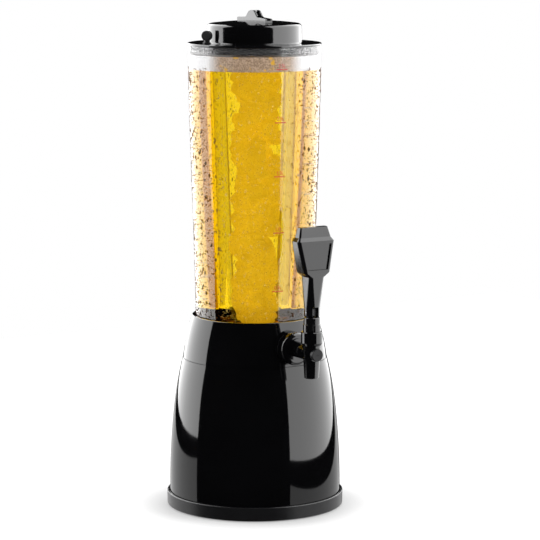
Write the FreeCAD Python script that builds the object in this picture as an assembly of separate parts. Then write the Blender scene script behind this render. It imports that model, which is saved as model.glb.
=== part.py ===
import FreeCAD, Part
import math
import os

from FreeCAD import Vector

os.makedirs("parts", exist_ok=True)

# All sizes are in millimetres. +Z is up, the tap points along -Y, and the origin is
# the centre of the foot, on the surface that the dispenser stands on.

# Foot and base plate
padRadius = 80.0
padThick = 1.6
plateBottom = 0.8
plateFloorTop = 4.6
lipRadius = 87.8
lipTop = 14.2
lipThick = 2.4

# Lower base shell, a flared bell: outer radius at each height
shellWall = 2.6
shellOutline = [(84.7, plateFloorTop), (84.6, 40.0), (82.0, 84.0), (78.0, 118.0), (71.7, 148.8)]
shellFlangeThick = 3.0
shellFlangeHole = 50.0

# Reservoir collar, the upper base
collarOutline = [(71.5, 149.2), (67.2, 172.5), (62.1, 191.5)]
collarWall = 3.0
socketRadius = 58.95
ledgeTop = 177.0
sumpRadius = 54.5
sumpFloorTop = 153.5
sumpFloorThick = 3.0
cupWall = 2.6
screwPostRadius = 3.9
screwPostTop = 169.0
screwCircle = 62.4
footScrewCircle = 75.2
footPostRadius = 8.2
footPostTop = 24.0

# Tower tube: outer radius at each height
gasketThick = 1.5
tubeWall = 2.4
tubeBottom = ledgeTop + gasketThick
tubeTop = 458.0
tubeOutline = [(58.3, tubeBottom), (61.2, 300.0), (64.3, 400.0), (65.3, tubeTop)]

# Lid
lidGap = 0.05
flangeThick = 2.2
flangeRadius = 65.6
hubRadius = 46.4
hubRound = 3.9
hubTop = 479.2
hubDome = 2.6
hubWall = 2.5
skirtRadius = 61.2
skirtThick = 2.7
skirtBottom = 451.0
lidBottom = tubeTop + lidGap
flangeTop = lidBottom + flangeThick
hubCeiling = hubTop - hubWall

# Bayonet socket for the ice tube, inside the hub
bayonetRadius = 37.2
bayonetWall = 2.3
bayonetBottom = 455.0
bayonetLedge = 2.5
bayonetCount = 3
bayonetLedgeAngle = 40.0
bayonetLugAngle = 30.0

# Ice tube
iceTop = 474.0
iceBottom = 172.0
iceWall = 1.8
iceRadiusTop = 34.3
iceRadiusFoot = 26.4
iceNose = 20.0

# Grip on the hub
gripLength = 56.0
gripThick = 7.8
gripHumpWidth = 21.5
gripTop = 491.9
gripWingEnd = 484.4
gripWingRoot = 485.2
gripScrewY = 18.0
gripSlot = 4.2
gripSlotFloor = 482.4
gripPost = 2.6
gripScrewTop = 483.6

# Vent plug, at the left of the lid
ventX = -53.0
ventHole = 3.05
ventShaft = 3.0
ventNeck = 2.8
ventCollar = 4.0
ventCollarThick = 0.9
ventTabRadius = 4.9
ventTabThick = 5.6
ventTabZ = 468.2
ventTabTurn = -50.5

# Tap: height of the shank and distance of the valve from the tower's axis
tapZ = 168.0
valveY = -110.9
shankRadius = 7.6
shankBore = 4.5
shankInnerEnd = -43.0
bossFace = -71.5
bossRadius = 16.1
innerBossFace = -51.5
innerBossRadius = 13.0
washerThick = 1.5
escutcheonFace = -84.2
escutcheonRound = 3.6
locknutFlats = 21.0
locknutThick = 6.0

spoutBottom = 144.4
spoutTipRadius = 7.2
spoutTopRadius = 9.0
housingRadius = 10.4
housingBottom = 179.0
housingTop = 189.8
spoutTopZ = 176.4
chamberRadius = 5.7
seatZ = 160.0
spoutBore = 4.3

# Bonnet on the valve housing
bonnetSpigotBottom = 181.0
bonnetLowRadius = 8.5
bonnetHighRadius = 8.0
bonnetStep = 196.8
bonnetTop = 203.6

# Stem, seat cup and spring
stemRadius = 2.0
stemHole = 2.08
stemBottom = 163.0
cupRadius = 5.2
cupTop = 166.5
springRadius = 4.7
springWire = 0.4
springTurns = 6
eyeThick = 6.2
eyeWidth = 6.0
eyeTop = 211.8

# Handle: fork at the foot, neck and paddle
pinZ = 208.6
pinRadius = 1.5
pinHoleEye = 1.53
pinHoleFork = 1.58
pinLength = 13.4
footRadius = 7.6
footBottom = 203.75
footTop = 214.6
footRound = 2.4
forkSlot = 6.6
forkCeiling = 213.8
# Sections of the neck and the paddle: height, half width, front Y, back Y, corner radius
handleSections = [
    (213.6, 7.5, -118.5, -103.4, 7.1),
    (243.0, 8.4, -121.6, -103.2, 3.6),
    (247.6, 14.3, -122.0, -104.2, 3.2),
    (277.8, 20.4, -120.0, -105.4, 3.2),
    (281.2, 17.5, -117.4, -106.9, 1.8),
    (290.8, 15.0, -115.1, -108.8, 1.4),
]
plateInset = 3.6
platePocket = 3.4
plateSunk = 2.0
plateGap = 0.15
plateLow = 250.4
plateHigh = 274.8

# Flow knob on the front of the housing
knobRadius = 5.95
knobFace = -122.1
knobBack = -117.7
knobStem = 3.0
knobStemEnd = -116.7
knobSpotFace = -117.6
knobSpotRadius = 6.6
knobRingY = -117.2
knobRingRadius = 2.75
knobRingWire = 0.28


def turned(*steps):
    """Solid of revolution about Z. A step is a point (radius, height), an arc given as
    ("arc", middle, end), or a smooth curve given as ("curve", point, point, ...)."""

    def at(p):
        return Vector(p[0], 0, p[1])

    edges = []
    here = at(steps[0])
    for step in steps[1:] + (steps[0],):
        if step[0] == "arc":
            end = at(step[2])
            edges.append(Part.Arc(here, at(step[1]), end).toShape())
        elif step[0] == "curve":
            end = at(step[-1])
            curve = Part.BSplineCurve()
            curve.interpolate([here] + [at(p) for p in step[1:]])
            edges.append(curve.toShape())
        else:
            end = at(step)
            if end.distanceToPoint(here) > 1e-6:
                edges.append(Part.LineSegment(here, end).toShape())
        here = end
    face = Part.Face(Part.Wire(edges))
    return face.revolve(Vector(0, 0, 0), Vector(0, 0, 1), 360)


def shifted(outline, inward):
    """The same outline moved inward by a wall."""
    return [(r - inward, z) for r, z in outline]


def noseArc(radius, bottom, height):
    """Middle point of the round nose that rises from the axis to a radius."""
    sphere = (radius ** 2 + height ** 2) / (2 * height)
    half = math.asin(radius / sphere) / 2
    return sphere * math.sin(half), bottom + sphere * (1 - math.cos(half))


def domeArc(radius, edge, height):
    """Middle point of the shallow dome that rises from its edge to the axis."""
    r, low = noseArc(radius, 0, height)
    return r, edge + height - low


def ring(inner, outer, low, high):
    return turned((inner, low), (outer, low), (outer, high), (inner, high))


def rod(radius, start, end):
    """Cylinder between two points."""
    a = Vector(*start)
    b = Vector(*end)
    return Part.makeCylinder(radius, (b - a).Length, a, b - a)


def around(shape, x, y):
    """A shape made about the tower's axis, moved to stand on another one."""
    moved = shape.copy()
    moved.translate(Vector(x, y, 0))
    return moved


def spun(shape, degrees):
    turnedCopy = shape.copy()
    turnedCopy.rotate(Vector(0, 0, 0), Vector(0, 0, 1), degrees)
    return turnedCopy


def screw(x, y, headBottom, headHigh, headRadius, shankTop, radius):
    """Pan-head screw pointing up, with a cross recess in its head."""
    head = Part.makeCylinder(headRadius, headHigh, Vector(x, y, headBottom))
    head = head.makeFillet(headHigh * 0.35, [head.Edges[2]])
    shank = rod(radius, (x, y, headBottom + headHigh - 0.01), (x, y, shankTop))
    body = head.fuse(shank)
    slot = Part.makeBox(headRadius * 1.2, headRadius * 0.28, headHigh * 0.5)
    slot.translate(Vector(x - headRadius * 0.6, y - headRadius * 0.14, headBottom - 0.01))
    cross = slot.copy()
    cross.rotate(Vector(x, y, 0), Vector(0, 0, 1), 90)
    return body.cut(slot).cut(cross)


def polar(radius, degrees):
    angle = math.radians(degrees)
    return radius * math.cos(angle), radius * math.sin(angle)


def roundedSection(z, half, front, back, corner):
    """Closed wire of a rectangle with round corners, at height z."""
    k = corner * (1 - math.sqrt(0.5))
    corners = [(half, back, -1, -1), (-half, back, 1, -1), (-half, front, 1, 1), (half, front, -1, 1)]
    stops = []
    for index, (x, y, sx, sy) in enumerate(corners):
        alongX = Vector(x + sx * corner, y, z)
        alongY = Vector(x, y + sy * corner, z)
        middle = Vector(x + sx * k, y + sy * k, z)
        if index % 2 == 0:
            stops.append((alongY, middle, alongX))
        else:
            stops.append((alongX, middle, alongY))
    edges = []
    for index, (start, middle, end) in enumerate(stops):
        edges.append(Part.Arc(start, middle, end).toShape())
        following = stops[(index + 1) % 4][0]
        edges.append(Part.LineSegment(end, following).toShape())
    return Part.Wire(edges)


def save(name, shape):
    solids = shape.Solids
    result = solids[0] if len(solids) == 1 else Part.makeCompound(solids)
    if not result.isValid() or not solids:
        raise ValueError(name + " is not a valid solid")
    result.exportStep("parts/" + name + ".step")
    box = result.BoundBox
    print("%-18s %d solid(s) %9.0f mm3  z %.1f to %.1f" % (name, len(solids), result.Volume, box.ZMin, box.ZMax))


screwAngles = [45, 135, 225, 315]


def makeNonslipPad():
    return turned((0, 0), (padRadius - 0.6, 0), (padRadius, 0.6), (padRadius, padThick), (0, padThick))


def makeBasePlate():
    inner = lipRadius - lipThick
    plate = turned(
        (0, padThick),
        (padRadius + 0.4, padThick),
        (padRadius + 0.4, plateBottom),
        (lipRadius - 1.2, plateBottom),
        ("arc", (lipRadius - 0.5, plateBottom + 0.35), (lipRadius - 0.2, plateBottom + 1.1)),
        (lipRadius, lipTop - 0.7),
        ("arc", (lipRadius - 0.25, lipTop - 0.2), (lipRadius - 0.8, lipTop)),
        (inner + 0.5, lipTop),
        ("arc", (inner + 0.15, lipTop - 0.15), (inner, lipTop - 0.5)),
        (inner, plateFloorTop),
        (0, plateFloorTop),
    )
    for angle in screwAngles:
        x, y = polar(footScrewCircle, angle)
        plate = plate.cut(rod(2.2, (x, y, 0), (x, y, plateFloorTop + 1)))
        plate = plate.cut(rod(4.3, (x, y, 0), (x, y, padThick + 1.6)))
    return plate


def makeBaseScrews():
    places = [polar(footScrewCircle, angle) for angle in screwAngles]
    return Part.makeCompound([screw(x, y, padThick + 0.1, 1.5, 3.9, 17.0, 1.85) for x, y in places])


def makeBaseShell():
    outer = shellOutline
    inner = shifted(shellOutline, shellWall)
    flangeBottom = outer[-1][1] - shellFlangeThick
    innerLow = [p for p in inner if p[1] < flangeBottom]
    innerTop = (inner[-1][0] + 0.55, flangeBottom)
    shell = turned(
        inner[0],
        outer[0],
        ("curve", *outer[1:]),
        (shellFlangeHole, outer[-1][1]),
        (shellFlangeHole, flangeBottom),
        innerTop,
        ("curve", *reversed(innerLow)),
    )
    for angle in screwAngles:
        x, y = polar(footScrewCircle, angle)
        post = rod(footPostRadius, (x, y, plateFloorTop), (x, y, footPostTop))
        shell = shell.fuse(post.common(turnedInside(outer)))
        shell = shell.cut(rod(1.9, (x, y, 0), (x, y, 19.0)))
        x, y = polar(screwCircle, angle)
        shell = shell.cut(rod(2.2, (x, y, flangeBottom - 5), (x, y, outer[-1][1] + 5)))
    return shell.removeSplitter()


def turnedInside(outline):
    """Solid body inside an outline of the base, 1 mm under its skin."""
    inside = shifted(outline, 1.0)
    return turned((0, inside[0][1]), inside[0], ("curve", *inside[1:]), (0, inside[-1][1]))


def makeCollarScrews():
    low = shellOutline[-1][1] - shellFlangeThick - 2.6
    places = [polar(screwCircle, angle) for angle in screwAngles]
    return Part.makeCompound([screw(x, y, low, 2.5, 3.7, 163.0, 1.85) for x, y in places])


def makeReservoirCollar():
    outer = collarOutline
    inner = shifted(collarOutline, collarWall)
    rimTop = outer[-1][1]
    ledgeBottom = ledgeTop - 3.5
    cupOuter = sumpRadius + cupWall
    floorBottom = sumpFloorTop - sumpFloorThick
    skin = turned(
        inner[0],
        outer[0],
        ("curve", *outer[1:-1], (outer[-1][0] + 0.1, rimTop - 0.8)),
        ("arc", (outer[-1][0] - 0.1, rimTop - 0.25), (outer[-1][0] - 0.7, rimTop)),
        (socketRadius + 0.5, rimTop),
        (socketRadius, rimTop - 0.5),
        (socketRadius, ledgeTop),
        (sumpRadius, ledgeTop),
        (sumpRadius, sumpFloorTop + 2.0),
        ("arc", (sumpRadius - 0.6, sumpFloorTop + 0.6), (sumpRadius - 2.0, sumpFloorTop)),
        (0, sumpFloorTop),
        (0, floorBottom),
        (cupOuter, floorBottom),
        (cupOuter, ledgeBottom),
        (inner[1][0] - 0.2, ledgeBottom),
    )
    for angle in screwAngles:
        x, y = polar(screwCircle, angle)
        skin = skin.fuse(rod(screwPostRadius, (x, y, outer[0][1]), (x, y, screwPostTop)))
        skin = skin.cut(rod(1.9, (x, y, outer[0][1] - 1), (x, y, 165.0)))
    boss = rod(bossRadius, (0, bossFace, tapZ), (0, -sumpRadius - 1.0, tapZ))
    innerBoss = rod(innerBossRadius, (0, innerBossFace, tapZ), (0, -sumpRadius - 2.0, tapZ))
    above = Part.makeBox(200, 200, 60, Vector(-100, -100, outer[0][1]))
    skin = skin.fuse(boss.common(above)).fuse(innerBoss)
    skin = skin.cut(rod(socketRadius, (0, 0, ledgeTop), (0, 0, rimTop + 5)))
    skin = skin.cut(rod(shankRadius + 0.2, (0, bossFace - 5, tapZ), (0, innerBossFace + 5, tapZ)))
    return skin.removeSplitter()


def makeTowerGasket():
    return ring(sumpRadius + 0.3, socketRadius - 0.15, ledgeTop, tubeBottom)


def makeTowerTube():
    outer = tubeOutline
    inner = shifted(tubeOutline, tubeWall)
    topOuter = (outer[-1][0], tubeTop - 0.4)
    topInner = (inner[-1][0], tubeTop - 0.4)
    return turned(
        inner[0],
        outer[0],
        ("curve", *outer[1:-1], topOuter),
        (outer[-1][0] - 0.4, tubeTop),
        (inner[-1][0] + 0.4, tubeTop),
        topInner,
        ("curve", *reversed(inner[:-1])),
    )


def wedge(inner, outer, low, high, middle, spread):
    """Part of a ring, spread degrees wide about a middle angle."""
    face = Part.Face(Part.makePolygon([
        Vector(inner, 0, low),
        Vector(outer, 0, low),
        Vector(outer, 0, high),
        Vector(inner, 0, high),
        Vector(inner, 0, low),
    ]))
    solid = face.revolve(Vector(0, 0, 0), Vector(0, 0, 1), spread)
    return spun(solid, middle - spread / 2)


def makeLid():
    skirtInner = skirtRadius - skirtThick
    cover = turned(
        (hubRadius - hubWall, lidBottom),
        (skirtInner, lidBottom),
        (skirtInner, skirtBottom + 0.6),
        (skirtInner + 0.6, skirtBottom),
        (skirtRadius - 0.8, skirtBottom),
        (skirtRadius, skirtBottom + 0.8),
        (skirtRadius, 453.2),
        (skirtRadius - 1.1, 453.2),
        (skirtRadius - 1.1, 456.0),
        (skirtRadius, 456.0),
        (skirtRadius, lidBottom),
        (flangeRadius - 0.3, lidBottom),
        (flangeRadius, lidBottom + 0.3),
        (flangeRadius, flangeTop - 0.8),
        ("arc", (flangeRadius - 0.25, flangeTop - 0.25), (flangeRadius - 0.8, flangeTop)),
        (hubRadius + 1.8, flangeTop + 0.35),
        ("arc", (hubRadius + 0.5, flangeTop + 0.75), (hubRadius, flangeTop + 2.0)),
        (hubRadius - 0.2, hubTop - hubRound + 0.2),
        ("arc", (hubRadius - hubRound * 0.33, hubTop - hubRound * 0.28), (hubRadius - hubRound, hubTop)),
        ("arc", domeArc(hubRadius - hubRound, hubTop, hubDome), (0, hubTop + hubDome)),
        (0, hubCeiling),
        (bayonetRadius, hubCeiling),
        (bayonetRadius, bayonetBottom),
        (bayonetRadius + bayonetWall, bayonetBottom),
        (bayonetRadius + bayonetWall, hubCeiling),
        (hubRadius - hubWall, hubCeiling),
    )
    for index in range(bayonetCount):
        middle = 360 / bayonetCount * index
        low = bayonetBottom
        high = bayonetBottom + bayonetLedge
        cover = cover.fuse(wedge(iceRadiusTop + 0.5, bayonetRadius + 0.5, low, high, middle, bayonetLedgeAngle))
    cover = cover.cut(rod(ventHole, (ventX, 0, lidBottom - 5), (ventX, 0, flangeTop + 5)))
    for side in (-1, 1):
        y = side * gripScrewY
        cover = cover.cut(rod(1.6, (0, y, hubCeiling - 5), (0, y, hubTop + 5)))
    return cover.removeSplitter()


def makeLidGasket():
    return turned(
        (skirtRadius - 1.0, 453.3),
        (skirtRadius + 0.2, 453.3),
        ("arc", (skirtRadius + 1.2, 454.6), (skirtRadius + 0.2, 455.9)),
        (skirtRadius - 1.0, 455.9),
    )


def makeLidGrip():
    half = gripLength / 2
    hump = gripHumpWidth / 2
    foot = hubTop - 1.0

    def at(y, z):
        return Vector(-gripThick / 2, y, z)

    humpRadius = gripTop - gripWingRoot
    edges = [
        Part.LineSegment(at(-half, foot), at(half, foot)).toShape(),
        Part.LineSegment(at(half, foot), at(half, gripWingEnd)).toShape(),
        Part.LineSegment(at(half, gripWingEnd), at(hump + 2.0, gripWingRoot)).toShape(),
    ]
    rise = Part.BSplineCurve()
    rise.interpolate(
        [
            at(hump + 2.0, gripWingRoot),
            at(hump * 0.87, gripWingRoot + humpRadius * 0.35),
            at(hump * 0.55, gripWingRoot + humpRadius * 0.85),
            at(0, gripTop),
            at(-hump * 0.55, gripWingRoot + humpRadius * 0.85),
            at(-hump * 0.87, gripWingRoot + humpRadius * 0.35),
            at(-hump - 2.0, gripWingRoot),
        ]
    )
    edges.append(rise.toShape())
    edges.append(Part.LineSegment(at(-hump - 2.0, gripWingRoot), at(-half, gripWingEnd)).toShape())
    edges.append(Part.LineSegment(at(-half, gripWingEnd), at(-half, foot)).toShape())
    bar = Part.Face(Part.Wire(edges)).extrude(Vector(gripThick, 0, 0))
    upper = [edge for edge in bar.Edges if edge.BoundBox.ZMin > foot + 1.5 and edge.BoundBox.XLength < 0.01]
    bar = bar.makeFillet(0.7, upper)
    bar = bar.cut(makeLid())
    bar = max(bar.Solids, key=lambda solid: solid.Volume)
    near = gripScrewY - gripPost
    far = gripScrewY + gripPost
    for start, end in [(-half - 1, -far), (-near, near), (far, half + 1)]:
        slot = Part.makeBox(gripSlot, end - start, gripTop, Vector(-gripSlot / 2, start, gripSlotFloor))
        bar = bar.cut(slot)
    for side in (-1, 1):
        y = side * gripScrewY
        bar = bar.cut(rod(1.3, (0, y, foot - 2), (0, y, gripScrewTop + 0.2)))
    return bar


def makeGripScrews():
    return Part.makeCompound([
        screw(0, side * gripScrewY, hubCeiling - 1.9, 1.8, 2.8, gripScrewTop, 1.25) for side in (-1, 1)
    ])


def makeVentPlug():
    shaft = rod(ventShaft, (ventX, 0, flangeTop - 9.0), (ventX, 0, flangeTop + 0.5))
    tip = Part.makeCone(2.2, ventShaft, 1.6, Vector(ventX, 0, flangeTop - 10.6), Vector(0, 0, 1))
    collarLow = flangeTop + 0.45
    collar = rod(ventCollar, (ventX, 0, collarLow), (ventX, 0, collarLow + ventCollarThick))
    neck = rod(ventNeck, (ventX, 0, collarLow), (ventX, 0, ventTabZ - 1.0))
    tab = Part.makeCylinder(ventTabRadius, ventTabThick, Vector(0, 0, -ventTabThick / 2))
    tab = tab.makeFillet(0.6, [tab.Edges[0], tab.Edges[2]])
    tab.rotate(Vector(0, 0, 0), Vector(1, 0, 0), 90)
    tab.rotate(Vector(0, 0, 0), Vector(0, 0, 1), ventTabTurn)
    tab.translate(Vector(ventX, 0, ventTabZ))
    return shaft.fuse(tip).fuse(collar).fuse(neck).fuse(tab).removeSplitter()


def makeIceTube():
    straight = iceRadiusTop - 0.5
    nose = iceBottom + iceNose
    tube = turned(
        (0, iceBottom),
        ("arc", noseArc(iceRadiusFoot, iceBottom, iceNose), (iceRadiusFoot, nose)),
        (straight, bayonetBottom - 5),
        (iceRadiusTop, bayonetBottom - 2),
        (iceRadiusTop, iceTop),
        (iceRadiusTop - iceWall, iceTop),
        (iceRadiusTop - iceWall, bayonetBottom - 2),
        (straight - iceWall, bayonetBottom - 5),
        (iceRadiusFoot - iceWall, nose),
        (
            "arc",
            noseArc(iceRadiusFoot - iceWall, iceBottom + iceWall, iceNose - iceWall),
            (0, iceBottom + iceWall),
        ),
    )
    low = bayonetBottom + bayonetLedge + 0.3
    for index in range(bayonetCount):
        middle = 360 / bayonetCount * index
        lug = wedge(iceRadiusTop - 0.5, bayonetRadius - 0.4, low, low + 2.5, middle, bayonetLugAngle)
        tube = tube.fuse(lug)
    return tube.removeSplitter()


def makeIceTubeSeal():
    return ring(iceRadiusTop - 2.4, iceRadiusTop + 0.6, iceTop, hubCeiling - 0.6)


def makeTapOuterWasher():
    washer = rod(bossRadius - 0.6, (0, bossFace, tapZ), (0, bossFace - washerThick, tapZ))
    return washer.cut(rod(shankRadius + 0.1, (0, bossFace + 1, tapZ), (0, bossFace - 5, tapZ)))


def makeTapEscutcheon():
    back = bossFace - washerThick
    disc = Part.makeCylinder(bossRadius, back - escutcheonFace, Vector(0, back, tapZ), Vector(0, -1, 0))
    front = [edge for edge in disc.Edges if edge.BoundBox.YLength < 0.01 and edge.BoundBox.YMin < back - 1]
    disc = disc.makeFillet(escutcheonRound, front)
    return disc.cut(rod(shankRadius + 0.1, (0, back + 1, tapZ), (0, escutcheonFace - 1, tapZ)))


def makeTapInnerWasher():
    washer = rod(innerBossRadius - 0.6, (0, innerBossFace, tapZ), (0, innerBossFace + washerThick, tapZ))
    return washer.cut(rod(shankRadius + 0.1, (0, innerBossFace - 1, tapZ), (0, innerBossFace + 5, tapZ)))


def makeTapLocknut():
    back = innerBossFace + washerThick
    corner = locknutFlats / math.sqrt(3)
    points = []
    for index in range(7):
        x, z = polar(corner, 60 * index)
        points.append(Vector(x, back, tapZ + z))
    nut = Part.Face(Part.makePolygon(points)).extrude(Vector(0, locknutThick, 0))
    return nut.cut(rod(shankRadius + 0.05, (0, back - 1, tapZ), (0, back + locknutThick + 1, tapZ)))


def makeTapBody():
    housing = turned(
        (0, spoutBottom),
        (spoutTipRadius - 0.5, spoutBottom),
        (spoutTipRadius, spoutBottom + 0.5),
        (spoutTopRadius, spoutTopZ),
        (housingRadius, housingBottom),
        (housingRadius, housingTop - 0.5),
        (housingRadius - 0.5, housingTop),
        (0, housingTop),
    )
    housing = around(housing, 0, valveY)
    shank = rod(shankRadius, (0, shankInnerEnd, tapZ), (0, valveY, tapZ))
    seat = rod(10.8, (0, escutcheonFace, tapZ), (0, escutcheonFace - 1.6, tapZ))
    body = housing.fuse(shank).fuse(seat)
    body = body.cut(rod(chamberRadius, (0, valveY, seatZ), (0, valveY, housingTop + 1)))
    body = body.cut(rod(spoutBore, (0, valveY, spoutBottom - 1), (0, valveY, seatZ + 1)))
    body = body.cut(rod(shankBore, (0, shankInnerEnd + 1, tapZ), (0, valveY, tapZ)))
    body = body.cut(rod(knobSpotRadius, (0, knobSpotFace, tapZ), (0, knobSpotFace - 10, tapZ)))
    body = body.cut(rod(knobStem + 0.06, (0, valveY, tapZ), (0, knobSpotFace - 1, tapZ)))
    return body.removeSplitter()


def makeBonnet():
    cap = turned(
        (stemHole, bonnetTop),
        (stemHole, 184.0),
        (4.3, 184.0),
        (4.3, bonnetSpigotBottom),
        (chamberRadius - 0.1, bonnetSpigotBottom),
        (chamberRadius - 0.1, housingTop),
        (bonnetLowRadius, housingTop),
        (bonnetLowRadius, bonnetStep),
        (bonnetHighRadius, bonnetStep + 0.3),
        (bonnetHighRadius, bonnetTop - 0.4),
        (bonnetHighRadius - 0.4, bonnetTop),
    )
    cap = around(cap, 0, valveY)
    keyAngle = math.radians(-20.0)
    keyX = bonnetLowRadius * math.sin(keyAngle)
    keyY = valveY - bonnetLowRadius * math.cos(keyAngle)
    key = rod(0.75, (keyX, keyY, housingTop + 1.0), (keyX, keyY, bonnetStep + 0.5))
    return cap.cut(key)


def makeStemOring():
    return Part.makeTorus(3.0, 0.75, Vector(0, valveY, 182.9), Vector(0, 0, 1))


def makeValveStem():
    stem = rod(stemRadius, (0, valveY, stemBottom), (0, valveY, bonnetTop + 0.6))
    collar = rod(3.6, (0, valveY, cupTop + 0.05), (0, valveY, cupTop + 1.2))
    eye = Part.makeBox(
        eyeThick, eyeWidth, eyeTop - bonnetTop, Vector(-eyeThick / 2, valveY - eyeWidth / 2, bonnetTop + 0.25)
    )
    eye = eye.common(rod(4.6, (-5, valveY, pinZ), (5, valveY, pinZ)))
    body = stem.fuse(collar).fuse(eye)
    return body.cut(rod(pinHoleEye, (-5, valveY, pinZ), (5, valveY, pinZ))).removeSplitter()


def makeSeatCup():
    cup = turned(
        (stemRadius + 0.02, seatZ + 1.6),
        (1.4, seatZ + 1.0),
        (1.4, seatZ + 0.05),
        (cupRadius, seatZ + 0.05),
        (cupRadius, seatZ + 2.2),
        (cupRadius - 1.0, cupTop),
        (stemRadius + 0.02, cupTop),
    )
    return around(cup, 0, valveY)


def makeValveSpring():
    low = cupTop + 0.5
    high = bonnetSpigotBottom - springWire - 0.05
    pitch = (high - low) / springTurns
    helix = Part.makeHelix(pitch, high - low, springRadius)
    corners = [polar(springWire, 30 * index) for index in range(12)]
    section = Part.makePolygon([Vector(springRadius + x, 0, z) for x, z in corners + corners[:1]])
    coil = Part.Wire(helix.Edges).makePipeShell([section], True, True)
    return around(coil.translated(Vector(0, 0, low)), 0, valveY)


def makeHandle():
    sections = [roundedSection(*values) for values in handleSections]
    paddle = Part.makeLoft(sections, True, True)
    foot = Part.makeCylinder(footRadius, footTop - footBottom, Vector(0, valveY, footBottom))
    low = [edge for edge in foot.Edges if edge.BoundBox.ZMax < footBottom + 0.01]
    foot = foot.makeFillet(footRound, low)
    top = [edge for edge in foot.Edges if edge.BoundBox.ZMin > footTop - 0.01]
    foot = foot.makeFillet(0.8, top)
    body = paddle.fuse(foot)
    slot = Part.makeBox(
        forkSlot, 40, forkCeiling - footBottom + 2, Vector(-forkSlot / 2, valveY - 20, footBottom - 2)
    )
    body = body.cut(slot)
    body = body.cut(rod(pinHoleFork, (-20, valveY, pinZ), (20, valveY, pinZ)))
    return body.cut(platePrism(plateGap, 4.0))


def frontY(z):
    """Y of the paddle's front face at a height."""
    low = handleSections[2]
    high = handleSections[3]
    part = (z - low[0]) / (high[0] - low[0])
    return low[2] + (high[2] - low[2]) * part


def halfWidth(z):
    low = handleSections[2]
    high = handleSections[3]
    part = (z - low[0]) / (high[0] - low[0])
    return low[1] + (high[1] - low[1]) * part


def platePrism(grow, outward):
    """Trapezoid block in the paddle's front face, grown by a gap on its sides."""
    low = plateLow - grow
    high = plateHigh + grow
    lowHalf = halfWidth(plateLow) - plateInset + grow
    highHalf = halfWidth(plateHigh) - plateInset + grow
    corners = [(-lowHalf, low), (lowHalf, low), (highHalf, high), (-highHalf, high), (-lowHalf, low)]
    points = [Vector(x, frontY(z) + platePocket, z) for x, z in corners]
    return Part.Face(Part.makePolygon(points)).extrude(Vector(0, -platePocket - outward, 0))


def makeHandlePlate():
    return platePrism(0, -plateSunk)


def makePivotPin():
    return rod(pinRadius, (-pinLength / 2, valveY, pinZ), (pinLength / 2, valveY, pinZ))


def makeFlowKnob():
    head = Part.makeCylinder(knobRadius, knobBack - knobFace, Vector(0, knobBack, tapZ), Vector(0, -1, 0))
    front = [edge for edge in head.Edges if edge.BoundBox.YMax < knobFace + 0.01]
    head = head.makeFillet(0.5, front)
    stem = rod(knobStem, (0, knobStemEnd, tapZ), (0, knobBack - 1, tapZ))
    dimple = rod(0.7, (0, knobFace - 1, tapZ), (0, knobFace + 0.5, tapZ))
    groove = Part.makeTorus(knobRingRadius, knobRingWire + 0.02, Vector(0, knobRingY, tapZ), Vector(0, 1, 0))
    return head.fuse(stem).cut(dimple).cut(groove).removeSplitter()


def makeFlowOring():
    return Part.makeTorus(knobRingRadius, knobRingWire, Vector(0, knobRingY, tapZ), Vector(0, 1, 0))


makers = {
    "nonslip_pad": makeNonslipPad,
    "base_plate": makeBasePlate,
    "base_screws": makeBaseScrews,
    "base_shell": makeBaseShell,
    "collar_screws": makeCollarScrews,
    "reservoir_collar": makeReservoirCollar,
    "tower_gasket": makeTowerGasket,
    "tower_tube": makeTowerTube,
    "lid": makeLid,
    "lid_gasket": makeLidGasket,
    "lid_grip": makeLidGrip,
    "grip_screws": makeGripScrews,
    "vent_plug": makeVentPlug,
    "ice_tube": makeIceTube,
    "ice_tube_seal": makeIceTubeSeal,
    "tap_outer_washer": makeTapOuterWasher,
    "tap_escutcheon": makeTapEscutcheon,
    "tap_inner_washer": makeTapInnerWasher,
    "tap_locknut": makeTapLocknut,
    "tap_body": makeTapBody,
    "bonnet": makeBonnet,
    "stem_oring": makeStemOring,
    "valve_stem": makeValveStem,
    "seat_cup": makeSeatCup,
    "valve_spring": makeValveSpring,
    "handle": makeHandle,
    "handle_plate": makeHandlePlate,
    "pivot_pin": makePivotPin,
    "flow_knob": makeFlowKnob,
    "flow_oring": makeFlowOring,
}

for nodeName, maker in makers.items():
    save(nodeName, maker())
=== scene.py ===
import math
import bmesh
import bpy
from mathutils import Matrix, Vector


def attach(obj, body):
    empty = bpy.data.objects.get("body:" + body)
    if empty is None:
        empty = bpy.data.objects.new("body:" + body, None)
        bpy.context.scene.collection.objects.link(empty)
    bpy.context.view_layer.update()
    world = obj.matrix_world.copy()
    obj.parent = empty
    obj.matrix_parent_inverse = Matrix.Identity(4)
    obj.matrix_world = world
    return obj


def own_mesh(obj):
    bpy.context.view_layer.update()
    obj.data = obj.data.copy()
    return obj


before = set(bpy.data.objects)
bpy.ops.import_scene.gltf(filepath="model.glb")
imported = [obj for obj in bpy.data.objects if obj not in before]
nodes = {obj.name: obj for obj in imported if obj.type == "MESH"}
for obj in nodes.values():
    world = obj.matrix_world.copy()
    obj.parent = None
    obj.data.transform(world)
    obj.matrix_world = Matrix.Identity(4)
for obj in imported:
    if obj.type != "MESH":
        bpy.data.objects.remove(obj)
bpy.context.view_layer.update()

scene = bpy.context.scene
scene.view_settings.view_transform = "Standard"
mm = 0.001
white = (1, 1, 1)


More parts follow.
